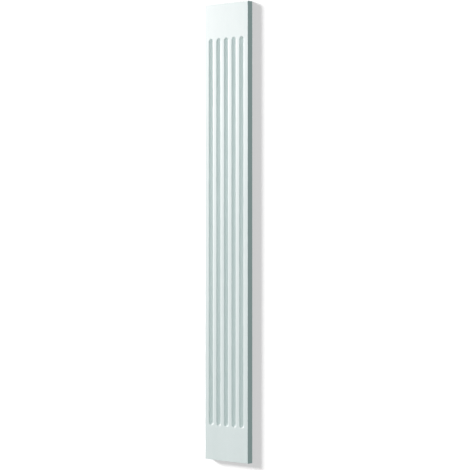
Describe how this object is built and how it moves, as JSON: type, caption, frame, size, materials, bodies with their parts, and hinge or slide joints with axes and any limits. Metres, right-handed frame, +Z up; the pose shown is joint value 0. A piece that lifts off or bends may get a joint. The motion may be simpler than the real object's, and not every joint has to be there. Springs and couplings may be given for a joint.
{
  "type": "fluted pilaster",
  "caption": "Tall flat wall pilaster with round-ended flutes between plain ends, on a hollow back frame that hangs on split battens.",
  "frame": {"origin": "on the wall plane, at the middle of the bottom end", "axes": "+Z up the height; +Y into the wall, so the fluted face looks along -Y; X across the width"},
  "size_m": [0.25, 0.03, 2],
  "materials": {
    "painted_mdf": "moisture-resistant MDF board, sanded and sprayed in a satin cool-white enamel",
    "birch_plywood": "birch plywood, sanded and bare, with the outer edges of the stiles and the ends painted like the face",
    "beech": "turned beech, bare",
    "zinc_plated_steel": "bright zinc plate"
  },
  "bodies": {
    "wall_battens": {"upper_wall_batten": "birch_plywood", "lower_wall_batten": "birch_plywood"},
    "panel": {"fluted_face": "painted_mdf", "left_stile": "birch_plywood", "right_stile": "birch_plywood", "top_rail": "birch_plywood", "upper_cross_rail": "birch_plywood", "middle_cross_rail": "birch_plywood", "lower_cross_rail": "birch_plywood", "bottom_rail": "birch_plywood", "left_dowels": "beech", "right_dowels": "beech", "left_stile_screws": "zinc_plated_steel", "right_stile_screws": "zinc_plated_steel", "rail_screws": "zinc_plated_steel", "upper_panel_batten": "birch_plywood", "lower_panel_batten": "birch_plywood", "upper_batten_screws": "zinc_plated_steel", "lower_batten_screws": "zinc_plated_steel"}
  },
  "joints": [
    {"name": "lift_off", "type": "slide", "parent": "wall_battens", "child": "panel", "axis": [0, 0, 1], "range_m": [0, 0.016]}
  ]
}
